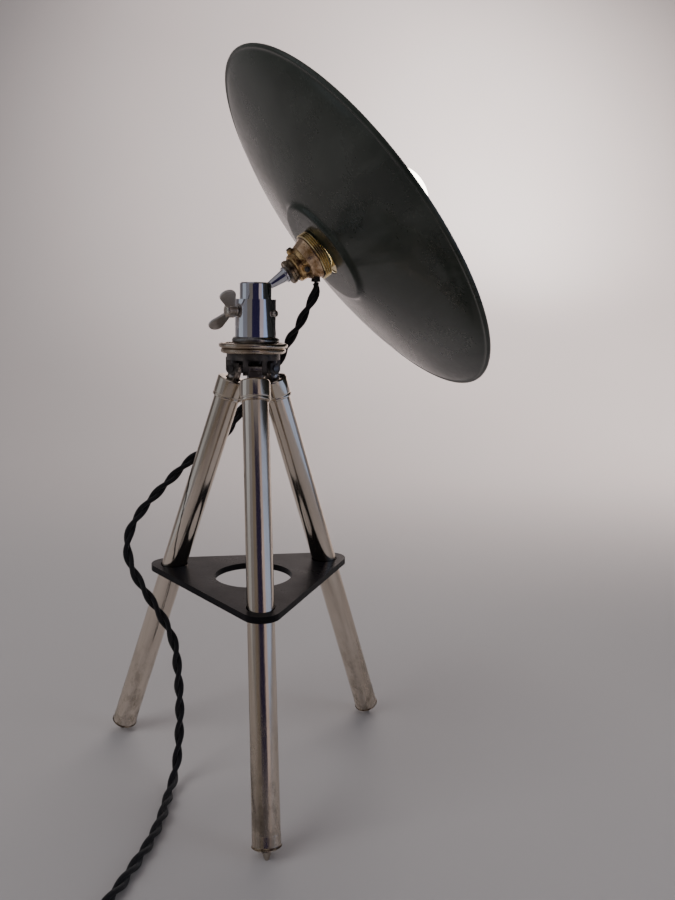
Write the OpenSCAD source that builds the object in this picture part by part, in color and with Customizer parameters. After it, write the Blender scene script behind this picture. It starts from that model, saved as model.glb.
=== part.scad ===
// Tripod lamp: a telescoping camera tripod with a drop-notch ball head that
// carries a brass lampholder, a shallow enamelled dish shade and a round bulb.
// Millimetres, +Z up, floor at z = 0, front leg towards -Y. The origin is on
// the floor, under the middle of the lamp's own box without its cord.

/* [Tripod] */
// Angle of each leg from the vertical, degrees
leg_tilt = 19.5; // [17:0.5:22]
// Outside diameter of the outer leg tubes
leg_tube_d = 20; // [19:0.5:21]
// Wall of the leg tubes
tube_wall = 1; // [0.8:0.1:1.5]
// From the hinge pin to the lower end of the outer tube
leg_len = 338; // [300:1:380]
// How far the spiked foot stands out of the closed leg
spike_len = 8; // [6:1:12]
// Distance of the hinge pins from the tripod's axis
hinge_r = 14.6; // [14.5:0.1:16]

/* [Spreader] */
// Height of the spreader plate's upper face
plate_top_z = 160; // [120:1:200]
// Thickness of the spreader plate
plate_t = 5; // [4:0.5:8]
// Width of plate around each leg hole, from the hole's middle
plate_corner_r = 14.5; // [14:0.5:20]
// Diameter of the plate's centre hole
plate_hole_d = 62; // [30:1:66]

/* [Ball head] */
// Turn of the head about the vertical
head_pan = 8; // [-20:1:20]
// Diameter of the head's main body
head_d = 31.6; // [28:0.2:34]
// Height of the ball's centre above the head's foot
ball_rise = 37; // [36:0.1:38]
// Diameter of the ball
ball_d = 20; // [18:0.5:21]

/* [Lamp] */
// Angle of the lamp's axis above the horizontal
lamp_rise = 34; // [20:0.5:70]
// Outside diameter of the shade
shade_d = 304; // [260:2:340]
// Depth of the dish, from its boss to the middle of its rolled rim
rim_deep = 31.2; // [30:0.2:36]
// How far the shade sits low on its holder
shade_drop = 2.8; // [0:0.1:3]
// How far the shade is tipped on its holder, degrees
shade_skew = 4.5; // [0:0.1:4.6]
// Thickness of the enamelled sheet
shade_t = 1; // [0.8:0.1:1.5]
// Diameter of the bulb
bulb_d = 60; // [55:1:65]

/* [Cord] */
// Overall diameter of the twisted flex
cord_d = 7.4; // [6:0.2:9]

/* [Hidden] */
$fn = 64;
gap = 0.3;
run_gap = 0.05;

nickel = [0.74, 0.70, 0.63];
chrome = [0.78, 0.79, 0.82];
dark_metal = [0.16, 0.16, 0.17];
black = [0.05, 0.05, 0.055];
enamel = [0.05, 0.075, 0.06];
brass = [0.78, 0.60, 0.27];
old_brass = [0.55, 0.38, 0.19];
copper_pink = [0.80, 0.58, 0.45];
porcelain = [0.93, 0.92, 0.88];

// Legs
leg_r = leg_tube_d / 2;
inner_r = leg_r - tube_wall - 0.35;
leg_az = [-90, 30, 150];
tip_r = 1.2;
pivot_z = (leg_len + spike_len) * cos(leg_tilt);
ring_len = 9;
ring_r = leg_r + 0.6;
tube_top = 10.4;
collar_len = 16;
collar_r = leg_r + 1.8;
plug_len = 9;
pin_r = 1.6;
eye_r = 4.6;
tongue_w = 10;
ear_w = 3.6;
rivet_at = -6.6;
ear_in = tongue_w / 2 + gap;
inner_len = leg_len - 30;

// Spreader: the hole centres lie on the legs' own axes at mid thickness
plate_mid_z = plate_top_z - plate_t / 2;
plate_leg_r = hinge_r + (pivot_z - plate_mid_z) * tan(leg_tilt);
leg_hole_r = leg_r + 0.7;

// Tripod head, heights of its faces
crown_top_z = pivot_z + 11.9;
crown_r = 20.5;
top_plate_t = 4;
top_disc_t = 3;
top_plate_r = 26.5;
head_z = crown_top_z + top_plate_t + top_disc_t;
screw_r = 4.7;
head_off = [1.8, 0.3];
crown_screw_r = 1.5;
crown_screw_at = 17;

// Ball head
head_r = head_d / 2;
ball_r = ball_d / 2;
ball_z = head_z + ball_rise;
foot_ring_h = 5.5;
foot_ring_r = 18.2;
body_top = 33.7;
cap_h = 12.6;
cap_r = 12.2;
slot_w = 7;
slot_floor = 24.5;
clamp_az = 192;
clamp_z = 25;
wing_az = [-48, 132];
clamp_r = 2.5;
seat_r = 7;
seat_drop = sqrt(pow(ball_r + run_gap, 2) - pow(seat_r, 2));
stop_az = -45;
stop_z = 23.2;

// Lampholder, stations along the lamp's axis from the ball's centre
stud_r = 2.9;
stud_flange = 27.2;
nut_at = 30.2;
cap_at = 35.6;
skirt_at = 44.4;
ring_at = 52.4;
ring_top = 58.9;
shade_at = 60.8;
thread_r = 19.2;
barrel_r = 14.9;
barrel_end = 88;
clamp_ring_at = 63.6;
cord_exit_at = 49;
cord_exit_r = 12.4;
grommet_len = 6;
m10_r = 4.9;
boss_az = [287, 47, 167];
boss_at = 41.5;

// Shade
shade_r = shade_d / 2;
roll_r = 1.8;
boss_r = 41;
hole_r = barrel_r + shade_drop + 0.15;

// Bulb
bulb_r = bulb_d / 2;
bulb_at = 130.4;
neck_r = 13.4;
glass_t = 0.8;

// Cord, relative to the tripod's axis
cord_r = cord_d / 2;
coil_mid_r = 44;
coil_c = [-86, -239];
coil_wide = 3;
coil_high = 2;
plug_x = 58;
plug_len_x = 38;
plug_h = 13.6;
sleeve_len = 12;
pin_len = 19;
pin_root = 10;
pin_gap = 19;
cord_sides = 10;
cord_route = [
    [42, 9, 371], [36, 15, 358], [29, 22, 345], [21, 28, 328],
    [8, 34, 309], [-6, 37, 291], [-17, 38, 274], [-30, 38, 262], [-47, 36, 250],
    [-66, 29, 233], [-85, 21, 214], [-96, 14, 198], [-99, 8, 183], [-95, 2, 168],
    [-87, -3, 154], [-78, -7, 140], [-69, -9, 124], [-63, -10, 107], [-61, -11, 87],
    [-60, -12, 66], [-60, -14, 46], [-61, -18, 28], [-63, -26, 13], [-66, -40, 5.5],
    [-69, -56, 3.8], [-73, -81, 3.8], [-80, -107, 3.8], [-89, -130, 3.8],
    [-98, -151, 3.8], [-108, -171, 3.8], [-120, -192, 3.8], [-131, -213, 3.8]
];
cord_steps = 2;
exit_out = cord_exit_r + grommet_len * cos(lamp_rise);
exit_up = cord_exit_at - grommet_len * sin(lamp_rise);
cord_start = lamp_point(exit_out, exit_up) - [0, 0, 0.6];
cord_path = concat([cord_start, cord_start - [0, 0, cord_d]], cord_route);

// The origin: half way between the lamp's outermost points in X and in Y
shade_rise = lamp_rise + shade_skew;
shade_dir = [cos(shade_rise) * cos(head_pan), cos(shade_rise) * sin(head_pan)];
rim_mid = lamp_point(shade_drop - rim_deep * sin(shade_skew), shade_at + rim_deep * cos(shade_skew));
rim_out = shade_r - roll_r;
foot_out = hinge_r + leg_len * sin(leg_tilt);
foot_dir = sin(leg_tilt);
x_high = rim_mid[0] + rim_out * sqrt(1 - pow(shade_dir[0], 2)) + roll_r;
x_low = -foot_out * cos(30) - ring_r * sqrt(1 - pow(foot_dir * cos(30), 2));
y_reach = rim_out * sqrt(1 - pow(shade_dir[1], 2)) + roll_r;
y_high = rim_mid[1] + y_reach;
y_low = min(-foot_out - ring_r * cos(leg_tilt), rim_mid[1] - y_reach);
axis_x = -(x_high + x_low) / 2;
axis_y = -(y_high + y_low) / 2;

// ---- Places ----

module at_axis() translate([axis_x, axis_y, 0]) children();

// Leg frame: origin on the hinge pin, -Z down the leg, +X outwards, pin along Y
module at_leg(i)
    at_axis() rotate([0, 0, leg_az[i]]) translate([hinge_r, 0, pivot_z])
        rotate([0, -leg_tilt, 0]) children();

// Tripod screw and head stand a little off the tripod's own axis
module at_screw() at_axis() translate([head_off[0], head_off[1], 0]) children();

// Head frame: origin at the foot of the head, the lamp leans towards +X
module at_head() at_screw() translate([0, 0, head_z]) rotate([0, 0, head_pan]) children();

// Lamp frame: origin at the ball's centre, +Z along the lamp's axis
module at_lamp()
    at_head() translate([0, 0, ball_rise]) rotate([0, 90 - lamp_rise, 0]) children();

// Shade frame: origin on the boss, +Z towards the rim
module at_dish()
    at_lamp() translate([shade_drop, 0, shade_at]) rotate([0, -shade_skew, 0]) children();

// A point of the lamp frame's XZ plane, from the tripod's axis
function lamp_point(x, z) = let (out = x * sin(lamp_rise) + z * cos(lamp_rise))
    [head_off[0] + out * cos(head_pan), head_off[1] + out * sin(head_pan),
     ball_z - x * cos(lamp_rise) + z * sin(lamp_rise)];

// ---- Shapes that repeat ----

module tube(z0, z1, r, bore) {
    difference() {
        translate([0, 0, z0]) cylinder(h = z1 - z0, r = r);
        translate([0, 0, z0 - 1]) cylinder(h = z1 - z0 + 2, r = bore);
    }
}

// An outline of [radius, height] points turned about the axis
module turned(points) rotate_extrude($fn = 96) polygon(points);

function lerp(a, b, t) = a + (b - a) * t;

// Points of an arc in the [radius, height] plane
function arc(c, r, a0, a1, n) =
    [for (k = [0 : n]) [c[0] + r * cos(lerp(a0, a1, k / n)), c[1] + r * sin(lerp(a0, a1, k / n))]];

// ---- Tripod head ----

module crown() {
    color(black) at_axis() difference() {
        union() {
            translate([0, 0, crown_top_z - 5]) cylinder(h = 5, r = crown_r);
            translate([0, 0, pivot_z - 3]) cylinder(h = 12, r = 8.5);
            for (az = leg_az) rotate([0, 0, az]) for (s = [-1, 1]) crown_ear(s);
        }
        translate([head_off[0], head_off[1], pivot_z - 10]) cylinder(h = 40, r = screw_r + 0.05);
        for (az = leg_az) rotate([0, 0, az]) translate([hinge_r, 0, pivot_z])
            rotate([90, 0, 0]) cylinder(h = 30, r = pin_r + run_gap, center = true);
        for (az = leg_az) rotate([0, 0, az + 60])
            translate([crown_screw_at, 0, crown_top_z - 10]) cylinder(h = 20, r = crown_screw_r + 0.05);
    }
}

module crown_ear(side) {
    y = side * (ear_in + ear_w / 2);
    translate([hinge_r, y, pivot_z]) rotate([90, 0, 0])
        cylinder(h = ear_w, r = eye_r, center = true);
    translate([hinge_r - eye_r, y - ear_w / 2, pivot_z])
        cube([2 * eye_r, ear_w, crown_top_z - 3 - pivot_z]);
}

module crown_screws() {
    color(dark_metal) at_axis() for (az = leg_az) rotate([0, 0, az + 60])
        translate([crown_screw_at, 0, crown_top_z]) {
            translate([0, 0, -7]) cylinder(h = 7 + top_plate_t - 1, r = crown_screw_r);
            translate([0, 0, -7.2]) cylinder(h = 2.2, r = 2.7);
        }
}

module hinge_pins() {
    reach = ear_in + ear_w;
    color(nickel) at_axis() for (az = leg_az) rotate([0, 0, az])
        translate([hinge_r, 0, pivot_z]) rotate([90, 0, 0]) {
            cylinder(h = 2 * reach, r = pin_r, center = true);
            for (s = [-1, 1]) translate([0, 0, s * (reach + 0.6)])
                cylinder(h = 1.2, r = 2.5, center = true);
        }
}

module top_plate() {
    r = top_plate_r - 1.5;
    h = top_plate_t;
    color(nickel) at_axis() translate([0, 0, crown_top_z]) difference() {
        turned(concat([[0, 0], [r - h / 2, 0]], arc([r - h / 2, h / 2], h / 2, -90, 90, 8), [[0, h]]));
        translate([head_off[0], head_off[1], -1]) cylinder(h = h + 2, r = screw_r + 0.05);
        for (az = leg_az) rotate([0, 0, az + 60]) translate([crown_screw_at, 0, -1])
            cylinder(h = h, r = crown_screw_r + 0.05);
    }
}

module top_disc() {
    h = top_disc_t;
    bead = 1.9;
    r = top_plate_r - bead;
    color(nickel) at_axis() translate([0, 0, crown_top_z + top_plate_t]) difference() {
        turned(concat([[0, 0], [r, 0]], arc([r, bead], bead, -90, 150, 12), [[r - 3, h], [0, h]]));
        translate([head_off[0], head_off[1], -1]) cylinder(h = h + 2, r = screw_r + 0.05);
    }
}

module tripod_screw() {
    color(chrome) at_screw() {
        translate([0, 0, pivot_z - 3.1]) cylinder(h = head_z + 9 - pivot_z + 3.1, r = screw_r);
        translate([0, 0, pivot_z - 7]) cylinder(h = 4, r = 6.5);
    }
}

// ---- Legs ----

// Eye on the hinge pin, a neck, and a plug that fills the top of the tube
module leg_knuckle(i) {
    color(black) at_leg(i) difference() {
        union() {
            rotate([90, 0, 0]) cylinder(h = tongue_w, r = eye_r - 0.4, center = true);
            translate([-3.2, -tongue_w / 2, -tube_top]) cube([6.4, tongue_w, tube_top]);
            translate([0, 0, -tube_top - plug_len]) cylinder(h = plug_len, r = leg_r - tube_wall);
        }
        rotate([90, 0, 0]) cylinder(h = 20, r = pin_r + run_gap, center = true);
        translate([0, 0, rivet_at]) rotate([90, 0, 0]) cylinder(h = 20, r = 1.2, center = true);
    }
}

// Rivet through the knuckle's neck, with a round head at each side
module leg_rivet(i) {
    reach = tongue_w / 2;
    color(nickel) at_leg(i) translate([0, 0, rivet_at]) rotate([90, 0, 0]) {
        cylinder(h = 2 * reach, r = 1.2, center = true);
        for (s = [-1, 1]) translate([0, 0, s * (reach + 0.6)])
            cylinder(h = 1.2, r1 = s > 0 ? 1.9 : 1.2, r2 = s > 0 ? 1.2 : 1.9, center = true);
    }
}

module leg_collar(i) {
    top = -tube_top + 1.6;
    color(nickel) at_leg(i) rotate_extrude() polygon([
        [leg_r + 0.02, top - collar_len], [collar_r - 0.6, top - collar_len], [collar_r, top - collar_len + 0.6],
        [collar_r, top - 0.8], [collar_r - 0.8, top], [6.05, top], [6.05, -tube_top + 0.02], [leg_r + 0.02, -tube_top + 0.02]
    ]);
}

module leg_tube(i) {
    color(nickel) at_leg(i) tube(-leg_len + 0.8, -tube_top, leg_r, leg_r - tube_wall);
}

// Turned-in end of the closed leg, which guides the inner tube
module leg_end_ring(i) {
    low = -leg_len;
    color(nickel) at_leg(i) rotate_extrude() polygon([
        [inner_r + 0.1, low], [ring_r - 0.7, low], [ring_r, low + 0.7], [ring_r, low + ring_len],
        [leg_r + 0.02, low + ring_len], [leg_r + 0.02, low + 0.78], [inner_r + 0.1, low + 0.78]
    ]);
}

module inner_tube(i) {
    color(nickel) at_leg(i) tube(-leg_len - 0.4, -leg_len + inner_len, inner_r, inner_r - tube_wall);
}

// Plug in the inner tube's end and a blunt cone, worn flat where it stands
module spike_foot(i) {
    color(dark_metal) difference() {
        at_leg(i) {
            translate([0, 0, -leg_len]) cylinder(h = 8, r = inner_r - tube_wall);
            translate([0, 0, -leg_len - 1.6]) cylinder(h = 1.6, r = inner_r - tube_wall);
            translate([0, 0, -leg_len - spike_len - 0.6])
                cylinder(h = spike_len - 1, r1 = tip_r, r2 = 4.2);
        }
        translate([-500, -500, -50]) cube([1000, 1000, 50]);
    }
}

module spreader_plate() {
    color(black) difference() {
        at_axis() translate([0, 0, plate_top_z - plate_t]) difference() {
            linear_extrude(height = plate_t) hull() for (az = leg_az) rotate([0, 0, az])
                translate([plate_leg_r + 18.6 - plate_corner_r, 0]) circle(r = plate_corner_r);
            translate([0, 0, -1]) cylinder(h = plate_t + 2, d = plate_hole_d, $fn = 96);
        }
        for (i = [0 : 2]) at_leg(i) translate([0, 0, -leg_len]) cylinder(h = leg_len, r = leg_hole_r);
    }
}

// ---- Ball head ----

module head_foot_ring() {
    bead = foot_ring_h / 2;
    color(dark_metal) at_head() difference() {
        turned(concat([[0, 0]], arc([foot_ring_r - bead, bead], bead, -90, 90, 10), [[0, foot_ring_h]]));
        translate([0, 0, -1]) cylinder(h = 20, r = screw_r + 0.05);
    }
}

module head_body() {
    color(chrome) at_head() difference() {
        translate([0, 0, foot_ring_h]) cylinder(h = body_top - foot_ring_h, r = head_r, $fn = 96);
        cylinder(h = 10, r = screw_r + 0.05);
        translate([0, 0, ball_rise - seat_drop]) cylinder(h = 20, r = ball_r + run_gap);
        translate([0, 0, 13]) cylinder(h = ball_rise, r = seat_r);
        rotate([0, 0, clamp_az]) translate([5, 0, clamp_z]) rotate([0, 90, 0])
            cylinder(h = 20, r = clamp_r + run_gap);
        translate([0, -slot_w / 2, slot_floor + slot_w / 2]) cube([30, slot_w, 30]);
        translate([0, 0, slot_floor + slot_w / 2]) rotate([0, 90, 0])
            cylinder(h = 30, r = slot_w / 2);
        rotate([0, 0, stop_az]) translate([9, 0, stop_z]) rotate([0, 90, 0])
            cylinder(h = 20, r = 1.5);
    }
}

module head_cap() {
    mouth = body_top + cap_h - ball_rise;
    color(chrome) at_head() difference() {
        union() {
            translate([0, 0, body_top]) cylinder(h = cap_h - 1, r = cap_r);
            translate([0, 0, body_top + cap_h - 1]) cylinder(h = 1, r1 = cap_r, r2 = cap_r - 1);
        }
        translate([0, 0, ball_rise]) sphere(r = ball_r + run_gap, $fn = 96);
        translate([0, 0, ball_rise + 2.5]) cylinder(h = mouth - 2.4, r1 = 5.5, r2 = 8.3);
        translate([0, -slot_w / 2, body_top - 1]) cube([30, slot_w, 30]);
    }
}

module brake_pad() {
    color(brass) at_head() rotate([0, 0, clamp_az]) translate([3.4, 0, clamp_z])
        rotate([0, 90, 0]) cylinder(h = 7.9, r = clamp_r - 0.1);
}

// Screw, knurled hub and two wings that flare away from the head
module wing_screw() {
    color(nickel) at_head() rotate([0, 0, clamp_az]) translate([0, 0, clamp_z]) {
        rotate([0, 90, 0]) translate([0, 0, 11.4]) cylinder(h = 8, r = clamp_r);
        rotate([0, 90, 0]) translate([0, 0, 15.9]) cylinder(h = 1.8, r = 4.4);
        rotate([0, 90, 0]) translate([0, 0, 17.6]) cylinder(h = 7.4, r = 5.4);
        for (a = wing_az) rotate([a, 0, 0]) translate([22, 0, 5]) rotate([90, 0, 0])
            linear_extrude(height = 1.8, center = true) hull() {
                translate([-0.6, -1]) circle(r = 3);
                translate([5.5, 10.5]) circle(r = 6.2);
            }
    }
}

module stop_screw() {
    color(dark_metal) at_head() rotate([0, 0, stop_az]) translate([0, 0, stop_z])
        rotate([0, 90, 0]) {
            translate([0, 0, 9.2]) cylinder(h = 8, r = 1.45);
            translate([0, 0, 16.4]) cylinder(h = 2.4, r = 2.5);
        }
}

// ---- Lampholder ----

module ball_stud() {
    color(chrome) at_lamp() {
        sphere(r = ball_r, $fn = 96);
        cylinder(h = 13.1, r = stud_r);
        translate([0, 0, 13]) cylinder(h = stud_flange - 12.9, r1 = stud_r, r2 = 4.9, $fn = 48);
        translate([0, 0, stud_flange]) cylinder(h = 1.6, r = 6.3);
        translate([0, 0, stud_flange + 1.5]) cylinder(h = nut_at - stud_flange - 1.5, r = 5.2);
        translate([0, 0, nut_at - 0.1]) cylinder(h = 9.6, r = m10_r);
    }
}

module stud_nut() {
    color(old_brass) at_lamp() difference() {
        union() {
            translate([0, 0, nut_at]) cylinder(h = 3.2, r = 9.6);
            translate([0, 0, nut_at + 3.2]) cylinder(h = cap_at - nut_at - 3.2, r = 8.8);
        }
        translate([0, 0, nut_at - 1]) cylinder(h = 10, r = m10_r + run_gap);
    }
}

module holder_cap() {
    base = cap_at;
    top = skirt_at;
    color(old_brass) at_lamp() difference() {
        union() {
            turned([[0, base], [9.6, base], [11.2, base + 1.4], [11.5, base + 5], [12.6, top - 1.6], [13.6, top], [0, top]]);
            for (a = boss_az) rotate([0, 0, a]) translate([8, 0, boss_at])
                rotate([0, 90, 0]) cylinder(h = 6.2, r = 2.8);
        }
        translate([0, 0, base - 1]) cylinder(h = 8, r = m10_r + run_gap);
        turned([[0, base + 4.4], [9.2, base + 4.4], [9.8, base + 5.6], [11, top - 1.4], [12, top + 1], [0, top + 1]]);
        for (a = boss_az) rotate([0, 0, a]) translate([8, 0, boss_at])
            rotate([0, 90, 0]) cylinder(h = 10, r = 1.3);
        at_grommet() translate([0, 0, -6]) cylinder(h = 20, r = 3.4);
    }
}

module holder_cap_screws() {
    color(dark_metal) at_lamp() for (a = boss_az) rotate([0, 0, a])
        translate([0, 0, boss_at]) rotate([0, 90, 0]) {
            translate([0, 0, 10.8]) cylinder(h = 4, r = 1.25);
            translate([0, 0, 14.2]) cylinder(h = 1.4, r = 2.2);
        }
}

module holder_skirt() {
    low = skirt_at;
    color(copper_pink) at_lamp() difference() {
        turned([[12.2, low], [13.8, low], [15.2, low + 3.4], [17, ring_at], [15.4, ring_at], [13.8, low + 4], [12.4, low + 1]]);
        at_grommet() translate([0, 0, -6]) cylinder(h = 20, r = 3.4);
    }
}

// The flex leaves the underside of the skirt, straight down
module at_grommet()
    translate([cord_exit_r, 0, cord_exit_at]) rotate([0, 90 + lamp_rise, 0]) children();

module cord_grommet() {
    color(black) at_lamp() at_grommet() difference() {
        union() {
            translate([0, 0, -0.6]) cylinder(h = 3.6, r = 3.35);
            translate([0, 0, 2.9]) cylinder(h = grommet_len - 2.9, r1 = 3.35, r2 = cord_r - 0.1, $fn = 48);
        }
        translate([0, 0, -3]) cylinder(h = grommet_len, r = 2.4);
    }
}

module holder_ring() {
    pitch = 1.65;
    low = thread_r - 1.1;
    outline = [for (k = [0 : 3]) each [[low, ring_at + k * pitch], [thread_r, ring_at + 0.45 + k * pitch],
               [thread_r, ring_at + 1.1 + k * pitch], [low, ring_at + 1.5 + k * pitch]]];
    color(brass) at_lamp() difference() {
        turned(concat([[0, ring_at]], outline, [[low, ring_top], [0, ring_top]]));
        translate([0, 0, ring_at - 1]) cylinder(h = 20, r = barrel_r + run_gap);
    }
}

module holder_barrel() {
    color(brass) at_lamp() difference() {
        translate([0, 0, ring_at]) cylinder(h = barrel_end - ring_at, r = barrel_r);
        translate([0, 0, ring_at - 3]) cylinder(h = barrel_end, r = barrel_r - 0.8);
    }
}

module porcelain_insert() {
    color(porcelain) at_lamp() difference() {
        translate([0, 0, ring_at]) cylinder(h = 12, r = barrel_r - 0.9);
        for (s = [-1, 1]) translate([0, s * 6, ring_at - 1]) cylinder(h = 7, r = 2);
    }
}

// Threaded shell and centre leaf
module lamp_contacts() {
    color(brass) at_lamp() {
        tube(ring_at + 12, barrel_end - 1, barrel_r - 1.1, barrel_r - 1.8);
        translate([0, 0, ring_at + 12]) cylinder(h = 1.2, r = 4);
        for (s = [-1, 1]) translate([0, s * 6, ring_at - 2]) cylinder(h = 8, r = 1.8);
    }
}

module clamp_ring() {
    low = clamp_ring_at;
    color(brass) at_lamp() difference() {
        turned([[0, low], [21.5, low], [21.5, low + 3], [18, low + 5.5], [0, low + 5.5]]);
        translate([0, 0, low - 1]) cylinder(h = 20, r = barrel_r + 0.02);
    }
}

module bulb_cap() {
    low = ring_at + 14;
    color(chrome) at_lamp() {
        turned([[0, low - 0.6], [3.6, low - 0.6], [4.2, low + 1.4], [12.8, low + 3.6], [12.8, low + 26], [0, low + 26]]);
    }
}

module bulb_glass() {
    low = ring_at + 40;
    outer = concat([[neck_r, low], [neck_r + 0.6, low + 5], [16.6, low + 12.5]], arc([0, bulb_at], bulb_r, -42, 90, 20));
    inner = concat(arc([0, bulb_at], bulb_r - glass_t, 90, -42, 20),
                   [[16.6 - glass_t, low + 12.7], [neck_r + 0.6 - glass_t, low + 5], [neck_r - glass_t, low]]);
    color([1, 0.97, 0.88]) at_lamp() turned(concat(outer, inner));
}

// ---- Shade ----

// Outer face of the dish from its centre hole to the start of the rim
function shade_outer(s) = [
    [hole_r, s], [boss_r, s], [boss_r + 2.4, 0.8 + s],
    [boss_r + 3.2, 2.6 + s], [boss_r + 5.5, 3.6 + s],
    [shade_r * 0.62, 13.6 + s], [shade_r * 0.86, 22.6 + s],
    [shade_r * 0.95, 26.8 + s], [shade_r - 2.6, rim_deep - 1.2 + s * 0.4]
];

module shade() {
    face = shade_outer(0);
    back = shade_outer(shade_t);
    n = len(face);
    color(enamel) at_dish() {
        turned(concat(face, [for (k = [n - 1 : -1 : 0]) back[k]]));
        rotate_extrude($fn = 96) translate([shade_r - roll_r, rim_deep]) difference() {
            circle(r = roll_r, $fn = 24);
            circle(r = roll_r - 0.7, $fn = 24);
        }
    }
}

module shade_rim_wire() {
    color(dark_metal) at_dish() rotate_extrude($fn = 96) translate([shade_r - roll_r, rim_deep])
        circle(r = roll_r - 0.75, $fn = 20);
}

// ---- Cord ----

// A point of the smooth curve through the route, t from 0 to 1 between p1 and p2
function curve(p0, p1, p2, p3, t) =
    0.5 * (2 * p1 + (p2 - p0) * t + (2 * p0 - 5 * p1 + 4 * p2 - p3) * t * t
           + (3 * p1 - p0 - 3 * p2 + p3) * t * t * t);

function unit(v) = v / norm(v);

// The route with cord_steps points to each stretch
function smooth(route) = let (n = len(route)) [
    for (i = [0 : n - 2]) for (s = [0 : cord_steps - 1])
        curve(route[max(i - 1, 0)], route[i], route[i + 1], route[min(i + 2, n - 1)], s / cord_steps),
    route[n - 1]
];

// Ring of points around the path at point i; up is never along the path
function cord_ring(path, i, r, up) =
    let (n = len(path), t = unit(path[min(i + 1, n - 1)] - path[max(i - 1, 0)]),
         a = unit(cross(t, up)), b = cross(t, a))
    [for (k = [0 : cord_sides - 1]) path[i] + r * (a * cos(360 * k / cord_sides) + b * sin(360 * k / cord_sides))];

module sweep(path, r, up) {
    n = len(path);
    m = cord_sides;
    points = [for (i = [0 : n - 1]) each cord_ring(path, i, r, up)];
    sides = [for (i = [0 : n - 2]) for (k = [0 : m - 1])
        [i * m + k, (i + 1) * m + k, (i + 1) * m + (k + 1) % m, i * m + (k + 1) % m]];
    polyhedron(points, concat([[for (k = [0 : m - 1]) k]], sides, [[for (k = [m - 1 : -1 : 0]) (n - 1) * m + k]]));
}

module cord_tube() color(black) at_axis() sweep(smooth(cord_path), cord_r, [0.7, 0.5, -0.5]);

module at_coil() at_axis() translate([coil_c[0], coil_c[1], 0]) children();

// Outer shape of the stored turns, 1.2 m of flex in 4.33 turns
module cord_coil() {
    w = coil_wide * cord_d;
    h = coil_high * cord_d;
    color(black) at_coil() rotate_extrude() translate([coil_mid_r - w / 2, 0])
        hull() for (x = [cord_r, w - cord_r]) for (y = [cord_r, h - cord_r])
            translate([x, y]) circle(r = cord_r, $fn = 24);
}

module cord_tail() {
    low = plug_h / 2;
    high = 1.5 * cord_d;
    route = [[0, 0, high], [12, 0, high], [22, 0, high], [31, 0, lerp(high, low, 0.4)],
             [39, 0, lerp(high, low, 0.86)], [plug_x - sleeve_len, 0, low]];
    color(black) at_coil() translate([0, -coil_mid_r - cord_r, 0]) sweep(smooth(route), cord_r, [0, 1, 0]);
}

// Strap around the coil's section
module coil_tie() {
    w = coil_wide * cord_d;
    h = coil_high * cord_d;
    color([0.2, 0.2, 0.2]) at_coil() rotate([0, 0, 20]) translate([coil_mid_r, 0, 0])
        rotate([90, 0, 0]) linear_extrude(height = 8, center = true) difference() {
            translate([-w / 2 - 1, 0]) square([w + 2, h + 1]);
            translate([-w / 2 - 0.05, 0.4]) square([w + 0.1, h - 0.35]);
        }
}

// ---- Plug, lying flat, pins towards +X ----

module at_plug()
    at_coil() translate([plug_x, -coil_mid_r - cord_r, plug_h / 2]) children();

module plug_body() {
    h = plug_h;
    color(black) at_plug() difference() {
        union() {
            hull() {
                translate([0, -7, -h / 2 + 1]) cube([4, 14, h - 2]);
                translate([14, -16.5, -h / 2]) cube([plug_len_x - 14, 33, h]);
            }
            translate([-sleeve_len, 0, 0]) rotate([0, 90, 0])
                cylinder(h = sleeve_len + 0.5, r1 = cord_r + 0.6, r2 = 6, $fn = 48);
        }
        for (s = [-1, 1]) translate([plug_len_x - pin_root, s * pin_gap / 2, 0])
            rotate([0, 90, 0]) cylinder(h = 2 * pin_root, r = 1.6);
    }
}

module plug_pins() {
    color(nickel) at_plug() for (s = [-1, 1])
        translate([plug_len_x, s * pin_gap / 2, 0]) rotate([0, 90, 0]) {
            translate([0, 0, -pin_root]) cylinder(h = pin_root, r = 1.6);
            cylinder(h = pin_len, r = 2);
        }
}

// ---- Assembly ----

crown();
crown_screws();
hinge_pins();
top_plate();
top_disc();
tripod_screw();
leg_knuckle(0);  // front_leg_knuckle
leg_knuckle(1);  // right_leg_knuckle
leg_knuckle(2);  // left_leg_knuckle
leg_rivet(0);  // front_leg_rivet
leg_rivet(1);  // right_leg_rivet
leg_rivet(2);  // left_leg_rivet
leg_collar(0);  // front_leg_collar
leg_collar(1);  // right_leg_collar
leg_collar(2);  // left_leg_collar
leg_tube(0);  // front_leg_tube
leg_tube(1);  // right_leg_tube
leg_tube(2);  // left_leg_tube
leg_end_ring(0);  // front_leg_end_ring
leg_end_ring(1);  // right_leg_end_ring
leg_end_ring(2);  // left_leg_end_ring
inner_tube(0);  // front_inner_tube
inner_tube(1);  // right_inner_tube
inner_tube(2);  // left_inner_tube
spike_foot(0);  // front_spike_foot
spike_foot(1);  // right_spike_foot
spike_foot(2);  // left_spike_foot
spreader_plate();
head_foot_ring();
head_body();
head_cap();
brake_pad();
wing_screw();
stop_screw();
ball_stud();
stud_nut();
holder_cap();
holder_cap_screws();
holder_skirt();
holder_ring();
holder_barrel();
porcelain_insert();
lamp_contacts();
clamp_ring();
cord_grommet();
bulb_cap();
bulb_glass();
shade();
shade_rim_wire();
cord_tube();
cord_coil();
cord_tail();
coil_tie();
plug_body();
plug_pins();
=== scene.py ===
import math

import bmesh
import bpy
import numpy as np
from mathutils import Matrix, Vector
from mathutils.geometry import convex_hull_2d


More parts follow.
